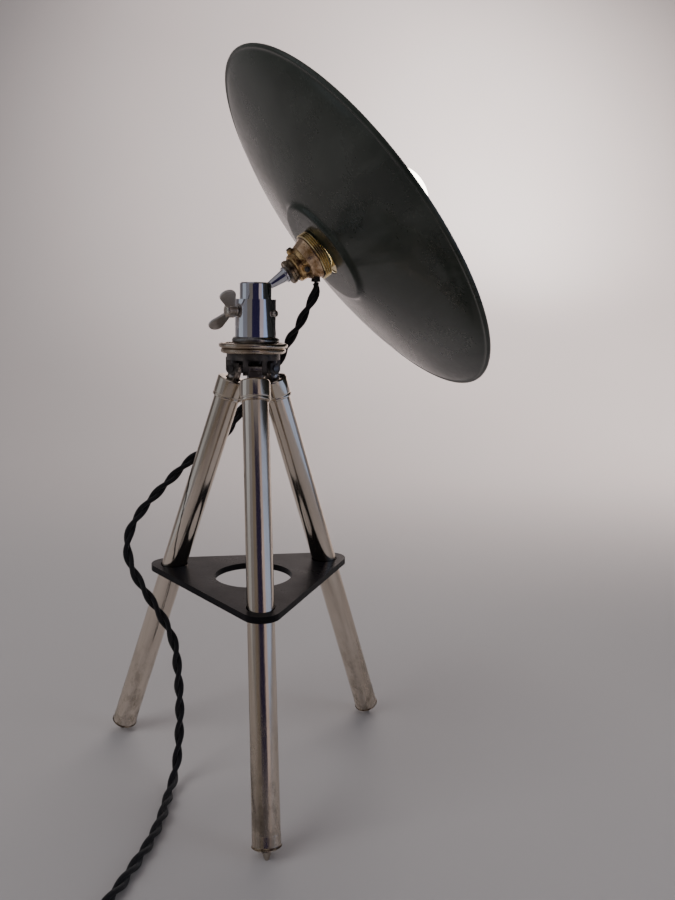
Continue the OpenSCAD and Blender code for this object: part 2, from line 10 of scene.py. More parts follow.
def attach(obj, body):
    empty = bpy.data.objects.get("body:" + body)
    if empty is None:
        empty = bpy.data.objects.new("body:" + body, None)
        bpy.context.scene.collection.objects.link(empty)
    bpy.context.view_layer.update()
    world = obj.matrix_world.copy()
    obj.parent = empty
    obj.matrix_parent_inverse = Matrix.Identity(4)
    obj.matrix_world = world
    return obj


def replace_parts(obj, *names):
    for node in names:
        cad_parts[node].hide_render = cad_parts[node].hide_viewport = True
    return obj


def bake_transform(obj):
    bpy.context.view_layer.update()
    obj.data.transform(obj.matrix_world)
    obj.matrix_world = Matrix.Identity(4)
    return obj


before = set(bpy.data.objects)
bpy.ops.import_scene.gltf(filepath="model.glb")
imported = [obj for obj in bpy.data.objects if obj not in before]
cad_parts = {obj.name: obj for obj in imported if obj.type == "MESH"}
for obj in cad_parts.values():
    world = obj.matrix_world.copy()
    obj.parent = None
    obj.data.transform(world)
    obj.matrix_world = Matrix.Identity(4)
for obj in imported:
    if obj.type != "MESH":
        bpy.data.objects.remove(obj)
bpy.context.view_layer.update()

D2R = math.pi / 180
MM = 0.001

# ---- Sizes shared with part.scad, millimetres ----
AXIS = Vector((-26.833, -10.931, 0))
TILT, LEG_LEN, HINGE_R = 19.5, 338.0, 14.6
PIVOT_Z = 346.0 * math.cos(TILT * D2R)
CROWN_TOP = PIVOT_Z + 11.9
HEAD_Z = CROWN_TOP + 7.0
PAN, RISE, BALL_RISE = 8.0, 34.0, 37.0
TUBE_TOP = 10.4
LEGS = {"front": -90.0, "right": 30.0, "left": 150.0}
RING_AT, RING_PITCH, SHADE_HOLE = 52.4, 1.65, 17.85
RIM_R, RIM_Z, LIP_R = 150.2, 31.2, 1.8
BOSS_Z, BOSSES = 41.5, (287, 47, 167)

# ---- The flex: two strands of 1.96 mm radius, one turn in 38 mm, lying 4.2 mm up on the floor ----
CORD_D, CORD_REST = 7.4, 4.2
STRAND_R, STRAND_OUT, TWIST = 1.96, 1.92, 38
COIL_X, COIL_Y, COIL_R, TAIL_Y = -86, -239, 51.6, -47.7


def turn(axis, degrees):
    return Matrix.Rotation(degrees * D2R, 4, axis)


def shift(x, y, z):
    return Matrix.Translation((x, y, z))


AT_AXIS = shift(*AXIS)
AT_HEAD = AT_AXIS @ shift(1.8, 0.3, HEAD_Z) @ turn("Z", PAN)
AT_LAMP = AT_HEAD @ shift(0, 0, BALL_RISE) @ turn("Y", 90 - RISE)
AT_DISH = AT_LAMP @ shift(2.8, 0, 60.8) @ turn("Y", -4.5)
AT_GROMMET = AT_LAMP @ shift(12.4, 0, 49) @ turn("Y", 90 + RISE)
AT_COIL = AT_AXIS @ shift(COIL_X, COIL_Y, 0)
AT_PLUG = AT_COIL @ shift(58, TAIL_Y, 6.8)


def at_leg(name):
    return AT_AXIS @ turn("Z", LEGS[name]) @ shift(HINGE_R, 0, PIVOT_Z) @ turn("Y", -TILT)


# ---- Camera ----
cam_data = bpy.data.cameras.new("camera")
cam = bpy.data.objects.new("camera", cam_data)
bpy.context.scene.collection.objects.link(cam)
bpy.context.scene.camera = cam
cam_data.sensor_width = 36
cam_data.lens = 32.118
CAMERA_AT = (-0.07127, -0.63529, 0.37055)
yaw, pitch, roll = 79.86 * D2R, -9.772 * D2R, 1.032 * D2R
forward = Vector((math.cos(pitch) * math.cos(yaw), math.cos(pitch) * math.sin(yaw), math.sin(pitch)))
level = Vector((math.sin(yaw), -math.cos(yaw), 0))
above = level.cross(forward)
side = level * math.cos(roll) + above * math.sin(roll)
up = above * math.cos(roll) - level * math.sin(roll)
cam.matrix_world = Matrix.Translation(CAMERA_AT) @ Matrix((side, up, -forward)).transposed().to_4x4()
cam_data.clip_start = 0.01
cam_data.clip_end = 50


# ---- Mesh helpers: shapes are given in millimetres in a local frame ----
def make(name, verts, faces, mat, body, frame_at=AT_AXIS, slot=None, sharp=32, merge=True):
    """A smooth-shaded mesh object whose own axes are the local frame."""
    data = bpy.data.meshes.new(name)
    data.from_pydata([tuple(Vector(v) * MM) for v in verts], [], [tuple(f) for f in faces])
    bm = bmesh.new()
    bm.from_mesh(data)
    if merge:
        bmesh.ops.remove_doubles(bm, verts=bm.verts, dist=2e-6)
    bmesh.ops.recalc_face_normals(bm, faces=bm.faces)
    bm.to_mesh(data)
    bm.free()
    data.polygons.foreach_set("use_smooth", [True] * len(data.polygons))
    data.set_sharp_from_angle(angle=sharp * D2R)
    for m in mat if isinstance(mat, (list, tuple)) else [mat]:
        data.materials.append(m)
    obj = bpy.data.objects.new(name, data)
    bpy.context.scene.collection.objects.link(obj)
    place = frame_at.copy()
    place.translation = place.translation * MM
    obj.matrix_world = place
    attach(obj, body)
    return obj


def fillet(points, radius, n=4, keep=12):
    """Rounds every corner of an outline that turns by more than keep degrees."""
    out = []
    count = len(points)
    for i, p in enumerate(points):
        p = Vector(p)
        a, b = Vector(points[i - 1]) - p, Vector(points[(i + 1) % count]) - p
        if a.length < 1e-6 or b.length < 1e-6:
            continue
        bend = 180 - math.degrees(a.angle(b))
        if bend < keep:
            out.append(p)
            continue
        r = min(radius, 0.42 * a.length, 0.42 * b.length)
        start, end = p + a.normalized() * r, p + b.normalized() * r
        for k in range(n + 1):
            t = k / n
            out.append(start * (1 - t) ** 2 + p * 2 * t * (1 - t) + end * t * t)
    return out


def lathe(outline, n=72):
    """Faces of a closed [radius, height] outline turned about Z."""
    verts, faces = [], []
    m = len(outline)
    for k in range(n):
        a = 2 * math.pi * k / n
        verts += [(p[0] * math.cos(a), p[0] * math.sin(a), p[1]) for p in outline]
    for k in range(n):
        for i in range(m):
            a, b = k * m, (k + 1) % n * m
            faces.append((a + i, a + (i + 1) % m, b + (i + 1) % m, b + i))
    return verts, faces


def moved(shape, matrix):
    return [tuple(matrix @ Vector(v)) for v in shape[0]], shape[1]


def joined(*shapes):
    verts, faces = [], []
    for v, f in shapes:
        base = len(verts)
        verts += list(v)
        faces += [tuple(base + i for i in face) for face in f]
    return verts, faces


def prism(outline, z0, z1, r=0.5, n=3):
    """An outline in XY pushed up Z, with its two edges rounded."""
    pts = [Vector(p) for p in outline]
    count = len(pts)
    area = sum(pts[i].x * pts[(i + 1) % count].y - pts[(i + 1) % count].x * pts[i].y for i in range(count))
    if area < 0:
        pts.reverse()
    normals = []
    for i in range(count):
        d = pts[(i + 1) % count] - pts[i - 1]
        normals.append(Vector((d.y, -d.x)).normalized())
    rings = []
    for k in range(n + 1):
        a = math.pi / 2 * k / n
        rings.append((r * (1 - math.sin(a)), z0 + r * (1 - math.cos(a))))
    rings += [(inset, z1 - (z - z0)) for inset, z in reversed(rings)]
    verts = [(*(p - nn * inset), z) for inset, z in rings for p, nn in zip(pts, normals)]
    faces = [tuple(reversed(range(count))), tuple(range((len(rings) - 1) * count, len(rings) * count))]
    for k in range(len(rings) - 1):
        for i in range(count):
            j = (i + 1) % count
            faces.append((k * count + i, k * count + j, (k + 1) * count + j, (k + 1) * count + i))
    return verts, faces


def rounded(x, y, r, n=6):
    """Outline of a rectangle x by y with rounded corners, middle at the origin."""
    out = []
    for cx, cy, a0 in ((1, 1, 0), (-1, 1, 90), (-1, -1, 180), (1, -1, 270)):
        for k in range(n + 1):
            a = (a0 + 90 * k / n) * D2R
            out.append((cx * (x / 2 - r) + r * math.cos(a), cy * (y / 2 - r) + r * math.sin(a)))
    return out


def rod(r, z0, z1, n=32, bevel=0.3):
    return lathe(fillet([(1e-4, z0), (r, z0), (r, z1), (1e-4, z1)], bevel, 3), n)


def smooth_route(route, steps):
    """Points of the curve through a route, as in part.scad but finer."""
    p = np.array(route, float)
    n = len(p)
    out = []
    for i in range(n - 1):
        p0, p1, p2, p3 = p[max(i - 1, 0)], p[i], p[i + 1], p[min(i + 2, n - 1)]
        for s in range(steps):
            t = s / steps
            out.append(0.5 * (2 * p1 + (p2 - p0) * t + (2 * p0 - 5 * p1 + 4 * p2 - p3) * t * t
                              + (3 * p1 - p0 - 3 * p2 + p3) * t ** 3))
    return np.array(out + [p[-1]])


def resampled(points, step):
    d = np.r_[0, np.cumsum(np.linalg.norm(np.diff(points, axis=0), axis=1))]
    s = np.linspace(0, d[-1], max(2, int(round(d[-1] / step)) + 1))
    return np.array([np.interp(s, d, points[:, k]) for k in range(3)]).T


def frames_along(points):
    """Unit normals across a path, turned as little as possible from point to point."""
    t = np.gradient(points, axis=0)
    t /= np.linalg.norm(t, axis=1)[:, None]
    n = np.cross(t[0], (0.3, 0.8, 0.5))
    out = []
    for k in range(len(points)):
        n = n - t[k] * (n @ t[k])
        n /= np.linalg.norm(n)
        out.append(n)
    out = np.array(out)
    return out, np.cross(t, out)


def tube(points, a, b, radius, sides, length_uv=1.0):
    """Rings round a path in metres; gives verts, faces and a UV pair for each face corner."""
    ang = 2 * np.pi * np.arange(sides) / sides
    cos, sin = np.cos(ang)[None, :, None], np.sin(ang)[None, :, None]
    rings = points[:, None] + radius * (a[:, None] * cos + b[:, None] * sin)
    verts = rings.reshape(-1, 3)
    along = np.r_[0, np.cumsum(np.linalg.norm(np.diff(points, axis=0), axis=1))] / length_uv
    faces, uvs = [], []
    for i in range(len(points) - 1):
        for k in range(sides):
            j = (k + 1) % sides
            faces.append((i * sides + k, i * sides + j, (i + 1) * sides + j, (i + 1) * sides + k))
            u0, u1 = k / sides, (k + 1) / sides
            uvs += [(u0, along[i]), (u1, along[i]), (u1, along[i + 1]), (u0, along[i + 1])]
    for i, order in ((0, range(sides)), (len(points) - 1, reversed(range(sides)))):
        face = tuple(i * sides + k for k in order)
        faces.append(face if i else tuple(reversed(face)))
        uvs += [(0.5, along[i])] * sides
    return verts, faces, uvs


# ---- Materials ----
class Shader:
    """A Principled material and short ways to add and join its nodes."""

    def __init__(self, name, **sockets):
        self.mat = bpy.data.materials.new(name)
        self.mat.use_nodes = True
        self.tree = self.mat.node_tree
        self.bsdf = self.tree.nodes["Principled BSDF"]
        for key, value in sockets.items():
            self.bsdf.inputs[key.replace("_", " ")].default_value = value
        self.coords = self.add("TexCoord")

    def add(self, kind, sockets=None, **settings):
        n = self.tree.nodes.new("ShaderNode" + kind)
        for key, value in settings.items():
            setattr(n, key, value)
        for key, value in (sockets or {}).items():
            if isinstance(value, bpy.types.NodeSocket):
                self.tree.links.new(value, n.inputs[key])
            else:
                n.inputs[key].default_value = value
        return n

    def noise(self, scale, detail=4, rough=0.5, distort=0.0, offset=(0, 0, 0), stretch=(1, 1, 1)):
        """Cloudy noise fixed to the piece's own axes."""
        place = self.add("Mapping", {"Vector": self.coords.outputs["Object"], "Scale": stretch,
                                     "Location": offset})
        return self.add("TexNoise", {"Vector": place.outputs[0], "Scale": scale, "Detail": detail,
                                     "Roughness": rough, "Distortion": distort}).outputs[0]

    def axis(self, k, space="Object"):
        """One of the three numbers of a point's place, 0 to 2 for X to Z."""
        return self.add("SeparateXYZ", {0: self.coords.outputs[space]}).outputs[k]

    def span(self, value, low, high, at=(0.3, 0.7)):
        """Runs from low to high while the value runs over the two limits of at."""
        return self.add("MapRange", {0: value, 1: at[0], 2: at[1], 3: low, 4: high}).outputs[0]

    def math(self, op, a, b=0.0, c=0.0):
        return self.add("Math", {0: a, 1: b, 2: c}, operation=op).outputs[0]

    def mix(self, share, a, b):
        """Colour a, turning into b as share goes from 0 to 1."""
        n = self.add("Mix", data_type="RGBA")
        for socket, value in ((0, share), (6, a), (7, b)):
            if isinstance(value, bpy.types.NodeSocket):
                self.tree.links.new(value, n.inputs[socket])
            else:
                n.inputs[socket].default_value = value if socket == 0 else (*value, 1)
        return n.outputs[2]

    def give(self, socket, value):
        self.tree.links.new(value, self.bsdf.inputs[socket])

    def bump(self, height, distance, strength=1.0):
        n = self.add("Bump", {"Height": height, "Distance": distance, "Strength": strength})
        self.give("Normal", n.outputs[0])


def metal(name, light, dark, rough, scale=60, streak=(1, 1, 1), grain=0.00004, patch=(0.4, 0.66)):
    """Plated or cast metal: two tones in patches, uneven polish and fine rubbing marks."""
    s = Shader(name, Metallic=1.0)
    cloud = s.noise(scale, 6, 0.62, stretch=streak, distort=0.3)
    fine = s.noise(900, 3, 0.6, stretch=(1, 1, 0.08) if streak != (1, 1, 1) else (1, 1, 1))
    tone = s.span(cloud, 0.0, 1.0, patch)
    s.give("Base Color", s.mix(tone, dark, light))
    polish = s.math("ADD", s.span(cloud, rough[1], rough[0], patch), s.span(fine, -0.03, 0.05))
    s.give("Roughness", polish)
    s.bump(fine, grain)
    return s.mat


def paint(name, light, dark, rough, scale=90, grain=0.0002, grain_scale=700, coat=0.0, metallic=0.0):
    """Paint, enamel, moulded plastic or rubber: near-even colour over a fine surface."""
    s = Shader(name, Coat_Weight=coat, Coat_Roughness=0.08, Metallic=metallic)
    cloud = s.noise(scale, 5, 0.55)
    fine = s.noise(grain_scale, 4, 0.6)
    s.give("Base Color", s.mix(s.span(cloud, 0.0, 1.0), dark, light))
    s.give("Roughness", s.math("ADD", s.span(cloud, rough[0], rough[1]), s.span(fine, -0.03, 0.03)))
    s.bump(fine, grain)
    return s.mat


nickel = metal("nickel", (0.76, 0.68, 0.58), (0.50, 0.42, 0.32),
               (0.07, 0.24), 34, (1, 1, 0.10), 0.00002, (0.34, 0.60))


def plated_tube():
    """Nickel plate polished along the tube, stained and dulled towards the lower end."""
    s = Shader("tube_nickel", Metallic=1.0)
    cloud = s.noise(34, 6, 0.62, stretch=(1, 1, 0.10), distort=0.3)
    fine = s.noise(900, 3, 0.6, stretch=(1, 1, 0.08))
    low = s.span(s.axis(2), 1.0, 0.0, (-0.335, -0.235))
    spots = s.math("MULTIPLY", low, s.span(s.noise(120, 6, 0.7, stretch=(1, 1, 0.5)), 0.0, 1.0, (0.46, 0.62)))
    tone = s.span(cloud, 0.0, 1.0, (0.34, 0.60))
    plate = s.mix(tone, (0.48, 0.40, 0.31), (0.75, 0.66, 0.565))
    s.give("Base Color", s.mix(spots, plate, (0.33, 0.28, 0.22)))
    polish = s.math("ADD", s.span(tone, 0.27, 0.11, (0.0, 1.0)), s.span(fine, -0.03, 0.05))
    dulled = s.math("MULTIPLY_ADD", spots, 0.16, s.math("MULTIPLY", low, 0.05))
    s.give("Roughness", s.math("ADD", polish, dulled))
    s.bump(s.math("MULTIPLY_ADD", spots, -0.6, fine), 0.00003)
    return s.mat


tube_nickel = plated_tube()
worn_nickel = metal("worn_nickel", (0.70, 0.64, 0.56), (0.36, 0.30, 0.24),
                    (0.16, 0.38), 120, (1, 1, 1), 0.00005, (0.38, 0.58))
plate_nickel = metal("plate_nickel", (0.74, 0.66, 0.56), (0.38, 0.30, 0.22), (0.12, 0.34), 70)
bright_nickel = metal("bright_nickel", (0.88, 0.85, 0.83), (0.70, 0.66, 0.62), (0.30, 0.46), 90)
chrome = metal("chrome", (0.78, 0.79, 0.83), (0.62, 0.62, 0.67), (0.03, 0.09), 40, (1, 1, 0.3), 0.00001)
blued_steel = metal("blued_steel", (0.50, 0.49, 0.47), (0.22, 0.21, 0.20), (0.14, 0.34), 90)
dark_steel = metal("dark_steel", (0.16, 0.15, 0.145), (0.05, 0.045, 0.045), (0.28, 0.46), 160)
tin = metal("bulb_cap_metal", (0.78, 0.78, 0.78), (0.62, 0.61, 0.60), (0.20, 0.36), 120)
pin_metal = metal("pin_nickel", (0.78, 0.76, 0.72), (0.58, 0.54, 0.48), (0.12, 0.26), 140)
brass = metal("brass", (0.90, 0.74, 0.40), (0.62, 0.47, 0.20),
              (0.10, 0.26), 110, (1, 1, 1), 0.00003, (0.30, 0.52))
old_brass = metal("old_brass", (0.78, 0.53, 0.25), (0.14, 0.07, 0.03),
                  (0.18, 0.42), 170, (1, 1, 1), 0.0002, (0.42, 0.60))
dull_brass = metal("dull_brass", (0.42, 0.33, 0.22), (0.08, 0.055, 0.04),
                   (0.22, 0.44), 210, (1, 1, 1), 0.0002, (0.42, 0.62))
copper = metal("copper_skirt", (0.88, 0.64, 0.42), (0.34, 0.19, 0.08),
               (0.16, 0.34), 80, (1, 1, 1), 0.00008, (0.42, 0.60))
casting = paint("black_casting", (0.120, 0.106, 0.098), (0.022, 0.019, 0.018),
                (0.26, 0.50), 160, 0.0004, 900, metallic=0.45)
knuckle_steel = metal("knuckle_steel", (0.46, 0.41, 0.37), (0.10, 0.085, 0.08),
                      (0.24, 0.44), 130, (1, 1, 1), 0.0001, (0.42, 0.60))
board = paint("spreader_black", (0.0095, 0.009, 0.0105), (0.006, 0.006, 0.007),
              (0.26, 0.38), 45, 0.00006, 520)
board.node_tree.nodes["Principled BSDF"].inputs["Specular IOR Level"].default_value = 0.06
plastic = paint("plug_plastic", (0.030, 0.030, 0.032), (0.016, 0.016, 0.018), (0.30, 0.42), 120, 0.0002, 1800)
rubber = paint("grommet_rubber", (0.028, 0.028, 0.028), (0.014, 0.014, 0.014),
               (0.62, 0.78), 200, 0.0003, 1500)
china = paint("porcelain", (0.86, 0.84, 0.79), (0.74, 0.71, 0.64), (0.10, 0.2), 120, 0.00008, 600, 0.4)
enamel_white = paint("enamel_white", (0.84, 0.84, 0.81), (0.76, 0.755, 0.72),
                     (0.10, 0.22), 26, 0.00025, 140, 0.5)


def dark_enamel():
    """Near-black green glass over steel: orange peel, soft dulled clouds, chips near the rim and painted light on
    the upper side.
    """
    s = Shader("enamel", Specular_IOR_Level=0.32, Coat_Weight=0.22, Coat_Roughness=0.07, Coat_IOR=1.45)
    cloud = s.noise(11, 5, 0.6, distort=0.6)
    peel = s.noise(330, 2, 0.5)
    streaks = s.noise(13, 4, 0.6, distort=1.4, stretch=(1, 0.3, 1), offset=(0.02, 0.01, 0))
    haze = s.span(streaks, 0.0, 0.8, (0.46, 0.68))
    body = s.mix(s.span(cloud, 0, 1), (0.009, 0.0135, 0.0095), (0.024, 0.031, 0.023))
    body = s.mix(haze, body, (0.048, 0.057, 0.047))
    x, y = s.axis(0), s.axis(1)
    # Painted light: the upper side of the dish (towards local -X) is mixed towards a paler green, standing in for
    # light that falls on the top.
    painted_top_light = s.span(x, 0.42, 0.0, (-0.150, -0.020))
    body = s.mix(painted_top_light, body, (0.066, 0.073, 0.062))
    out = s.math("SQRT", s.math("ADD", s.math("MULTIPLY", x, x), s.math("MULTIPLY", y, y)))
    edge = s.span(out, 0.0, 1.0, (0.128, 0.1515))
    flake = s.span(s.noise(75, 5, 0.75, distort=0.9, offset=(0.07, 0.03, 0)), 0.0, 1.0, (0.70, 0.715))
    chip = s.math("MULTIPLY", flake, s.span(edge, 0.0, 1.0, (0.1, 0.4)))
    s.give("Base Color", s.mix(chip, body, (0.06, 0.045, 0.035)))
    rough = s.math("ADD", s.span(cloud, 0.18, 0.38), s.span(peel, -0.02, 0.02))
    s.give("Roughness", s.math("MULTIPLY_ADD", chip, 0.4, rough))
    s.bump(s.math("SUBTRACT", s.math("MULTIPLY", peel, 0.06), chip), 0.0004, 0.7)
    return s.mat


def opal_glass():
    """Opal glass, lit: brighter where the filament sits, with a faint cloud in the coating."""
    s = Shader("bulb_glass", Base_Color=(0.98, 0.96, 0.9, 1), Roughness=0.28)
    glow = s.span(s.axis(2), 0.25, 1.0, (0.092, 0.120))
    milk = s.span(s.noise(60, 4, 0.6), 0.92, 1.06)
    s.give("Emission Color", s.mix(s.noise(30, 3), (1.0, 0.90, 0.76), (1.0, 0.93, 0.82)))
    s.give("Emission Strength", s.math("MULTIPLY", s.math("MULTIPLY", glow, milk), 12.0))
    return s.mat


def strap_cloth():
    """Narrow woven webbing: ribs across, picks along, a little fuzz."""
    s = Shader("tie_fabric", Sheen_Weight=0.3, Sheen_Roughness=0.5)
    ribs = [s.math("MULTIPLY_ADD", s.math("SINE", s.math("MULTIPLY", s.axis(k), f)), 0.5, 0.5)
            for k, f in ((0, 7800.0), (2, 9400.0))]
    weave = s.math("MAXIMUM", *ribs)
    fuzz = s.noise(1800, 3, 0.7)
    s.give("Base Color", s.mix(weave, (0.016, 0.016, 0.018), (0.055, 0.053, 0.055)))
    s.give("Roughness", s.span(fuzz, 0.7, 0.92))
    s.bump(s.math("MULTIPLY_ADD", fuzz, 0.4, weave), 0.0003)
    return s.mat


enamel = dark_enamel()
bulb_mat = opal_glass()
webbing = strap_cloth()


def woven():
    """Braided cotton over the strands: two sets of crossing ribs, fuzz and a faintly uneven, worn tone."""
    s = Shader("flex", Sheen_Weight=0.12, Sheen_Roughness=0.4)
    u = s.math("MULTIPLY", s.axis(0, "UV"), 10.0)
    v = s.math("MULTIPLY", s.axis(1, "UV"), 9.0)
    ribs = []
    for op in ("ADD", "SUBTRACT"):
        w = s.math("SINE", s.math("MULTIPLY", s.math(op, u, v), 2 * math.pi))
        ribs.append(s.math("MULTIPLY_ADD", w, 0.5, 0.5))
    weave = s.math("MAXIMUM", *ribs)
    fuzz = s.noise(2600, 3, 0.7)
    tone = s.noise(45, 4, 0.6)
    worn = s.mix(s.span(tone, 0, 1), (0.006, 0.005, 0.007), (0.013, 0.012, 0.014))
    s.give("Base Color", s.mix(s.math("MULTIPLY", weave, 0.45), (0.003, 0.003, 0.004), worn))
    s.give("Roughness", s.span(fuzz, 0.62, 0.9))
    s.bump(s.math("MULTIPLY_ADD", fuzz, 0.35, weave), 0.00035, 0.8)
    return s.mat


flex = woven()


# ---- The flex: two strands twisted together, one route split where the joints bend it ----
ROUTE = [
    (48.894, 6.9186, 392.574), (48.894, 6.9186, 385.174), (42, 9, 371), (36, 15, 358), (29, 22, 345),
    (21, 28, 328), (8, 34, 309), (-6, 37, 291), (-17, 38, 274), (-30, 38, 262), (-47, 36, 250),
    (-66, 29, 233), (-85, 21, 214), (-96, 14, 198), (-99, 8, 183), (-95, 2, 168),
    (-87, -3, 154), (-78, -7, 140), (-69, -9, 124), (-63, -10, 107), (-61, -11, 87),
    (-60, -12, 66), (-60, -14, 46), (-61, -18, 28), (-63, -26, 13), (-66, -40, 5.5),
    (-69, -56, 4.2), (-73, -81, 4.2), (-80, -107, 4.2), (-89, -130, 4.2),
    (-98, -151, 4.2), (-108, -171, 4.2), (-120, -192, 4.2),
]


def coil_points():
    """Three turns side by side on the floor, then one and a third on top of them."""
    def step(x):
        x = min(1.0, max(0.0, x))
        return x * x * (3 - 2 * x)
    out = []
    for k in range(0, 1561, 10):
        climb = step((k - 950) / 70)
        r = COIL_R - 7.5 * (step((k - 300) / 60) + step((k - 660) / 60)) + CORD_D / 2 * climb
        r += CORD_D * step((k - 1380) / 60)
        a = (150 + k) * D2R
        out.append((COIL_X + r * math.cos(a), COIL_Y + r * math.sin(a), CORD_REST + CORD_D * climb))
    return out


def flex_path():
    tail = [(COIL_X + x, COIL_Y + TAIL_Y, z)
            for x, z in ((12, 11.6), (22, 11.3), (31, 9.8), (39, 7.8), (46, 6.8))]
    points = smooth_route(ROUTE + coil_points() + tail, 6) + np.array(AXIS)
    return resampled(points * MM, 0.0022)


def strands(points, a, b, length_before):
    """The twisted pair along part of the path, one strand after the other."""
    along = length_before + np.r_[0, np.cumsum(np.linalg.norm(np.diff(points, axis=0), axis=1))]
    made = []
    for s in (0, 1):
        phase = 2 * np.pi * along / (TWIST * MM) + np.pi * s + 0.9
        out = a * np.cos(phase)[:, None] + b * np.sin(phase)[:, None]
        line = points + out * STRAND_OUT * MM
        t = np.gradient(line, axis=0)
        t /= np.linalg.norm(t, axis=1)[:, None]
        p = out - t * (out * t).sum(1)[:, None]
        p /= np.linalg.norm(p, axis=1)[:, None]
        made.append(tube(line, p, np.cross(t, p), STRAND_R * MM, 14, 2 * math.pi * STRAND_R * MM))
    return made


def flex_piece(name, i0, i1, path, a, b, along):
    verts, faces, uvs = [], [], []
    for v, f, uv in strands(path[i0:i1 + 1], a[i0:i1 + 1], b[i0:i1 + 1], along[i0]):
        base = len(verts)
        verts += [tuple(x) for x in v]
        faces += [tuple(base + k for k in face) for face in f]
        uvs += uv
    data = bpy.data.meshes.new(name)
    data.from_pydata(verts, [], faces)
    layer = data.uv_layers.new(name="weave")
    layer.data.foreach_set("uv", np.array(uvs, np.float32).ravel())
    data.polygons.foreach_set("use_smooth", [True] * len(data.polygons))
    data.set_sharp_from_angle(angle=50 * D2R)
    data.materials.append(flex)
    obj = bpy.data.objects.new(name, data)
    bpy.context.scene.collection.objects.link(obj)
    return obj


path = flex_path()
across_a, across_b = frames_along(path)
along = np.r_[0, np.cumsum(np.linalg.norm(np.diff(path, axis=0), axis=1))]


def nearest(point):
    return int(np.argmin(np.linalg.norm(path[:700] - np.array(Vector(point) + AXIS) * MM, axis=1)))


# The flex is cut level with the head's foot, and again below the crown
cut_1, cut_2 = nearest(ROUTE[4]), nearest(ROUTE[7])
last = len(path) - 1
upper = flex_piece("flex_upper", 0, cut_1, path, across_a, across_b, along)
neck = flex_piece("flex_neck", cut_1, cut_2, path, across_a, across_b, along)
lower = flex_piece("flex_lower", cut_2, last, path, across_a, across_b, along)
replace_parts(lower, "cord_tube", "cord_coil", "cord_tail")
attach(lower, "stand")
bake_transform(upper)
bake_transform(neck)


# ---- Detailed pieces in place of CAD nodes ----
def lathed(node, outline, mat, body, at, slot, r=0.4, n=72, **more):
    piece = make(node + "_turned", *lathe(fillet(outline, r), n), mat, body, at, slot=slot, **more)
    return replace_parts(piece, node)


def shaped(node, shape, mat, body, at, slot, **more):
    piece = make(node + "_shaped", *shape, mat, body, at, slot=slot, **more)
    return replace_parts(piece, node)


def second_where(piece, test):
    """Gives the second material to the faces whose middle passes the test."""
    faces = piece.data.polygons
    faces.foreach_set("material_index", [int(test(face.center)) for face in faces])


def arc(cx, cz, r, a0, a1, n):
    angles = [(a0 + (a1 - a0) * k / n) * D2R for k in range(n + 1)]
    return [(cx + r * math.cos(a), cz + r * math.sin(a)) for a in angles]


def wall(bore, r, z0, z1):
    return [(bore, z0), (r, z0), (r, z1), (bore, z1)]


def slotted(r, h, z, slot_width=0.7, slot_deep=0.5, n=48):
    """Head of a slotted screw, its slot cut across the rounded face."""
    verts, faces = [], []
    rings = [(r, 0.0), (r, h * 0.55), (r * 0.93, h * 0.82), (r * 0.78, h * 0.96), (r * 0.5, h), (r * 0.25, h)]
    for radius, top in rings:
        for k in range(n):
            x, y = radius * math.cos(2 * math.pi * k / n), radius * math.sin(2 * math.pi * k / n)
            dip = slot_deep if abs(y) < slot_width / 2 and top > h * 0.5 else 0.0
            verts.append((x, y, z + top - dip))
    for q in range(len(rings) - 1):
        for k in range(n):
            j = (k + 1) % n
            faces.append((q * n + k, q * n + j, (q + 1) * n + j, (q + 1) * n + k))
    faces.append(tuple(range((len(rings) - 1) * n, len(rings) * n)))
    return verts, faces


# Legs
for leg in LEGS:
    at, upper_body, lower_body = at_leg(leg), leg + "_leg", leg + "_foot"
    lathed(leg + "_leg_tube", wall(9, 10, -LEG_LEN + 0.8, -TUBE_TOP), tube_nickel, upper_body, at,
           "nickel", 0.2, 96)
    c = -TUBE_TOP + 1.6
    lathed(leg + "_leg_collar", [
        (10, c - 16), (11.4, c - 16), (11.8, c - 15.6), (11.8, c - 14.4), (11.45, c - 13.9),
        (11.45, c - 13.3), (11.75, c - 12.8), (11.75, c - 1.2), (11, c), (6.05, c), (6.05, c - 1.6), (10, c - 1.6)],
        nickel, upper_body, at, "nickel", 0.25, 96)
    low = -LEG_LEN
    end = lathed(leg + "_leg_end_ring", [
        (8.75, low), (10.2, low), (10.6, low + 0.5), (10.6, low + 1.2), (10.12, low + 1.7), (10.1, low + 8.8),
        (10.02, low + 9), (10, low + 9), (10, low + 0.8), (8.75, low + 0.8)],
        [tube_nickel, dull_brass], upper_body, at, "nickel", 0.2, 96)
    second_where(end, lambda middle: middle.z < (low + 1.75) * MM)
    lathed(leg + "_inner_tube", wall(7.65, 8.65, low - 0.4, low + 308), nickel, lower_body, at,
           "nickel", 0.15, 72)


# Plate stack under the head
PLATE = AT_AXIS @ shift(0, 0, CROWN_TOP)
lathed("top_plate", [(8.6, 0)] + arc(23, 2, 2, -90, 90, 10) + [(8.6, 4)],
       plate_nickel, "stand", PLATE, "nickel", 0.1, 128)
lathed("top_disc", [(7.6, 4)] + arc(24.6, 5.9, 1.9, -90, 150, 14) + [(21.6, 7), (7.6, 7)],
       plate_nickel, "stand", PLATE, "nickel", 0.1, 128)

# Ball head
lathed("head_foot_ring", [(4.8, 0)] + arc(15.45, 2.75, 2.75, -90, 90, 14) + [(4.8, 5.5)],
       blued_steel, "ball_head", AT_HEAD, "dark_steel", 0.15, 128)
lathed("stop_screw", [
    (1e-4, 9.2), (1.45, 9.2), (1.45, 16.4), (2.3, 16.4), (2.5, 16.7), (2.5, 18.2), (2.1, 18.8), (1e-4, 18.8)],
       worn_nickel, "ball_head", AT_HEAD @ turn("Z", -45) @ shift(0, 0, 23.2) @ turn("Y", 90),
       "dark_steel", 0.15, 48)

AT_CLAMP = AT_HEAD @ turn("Z", 192) @ shift(0, 0, 25)


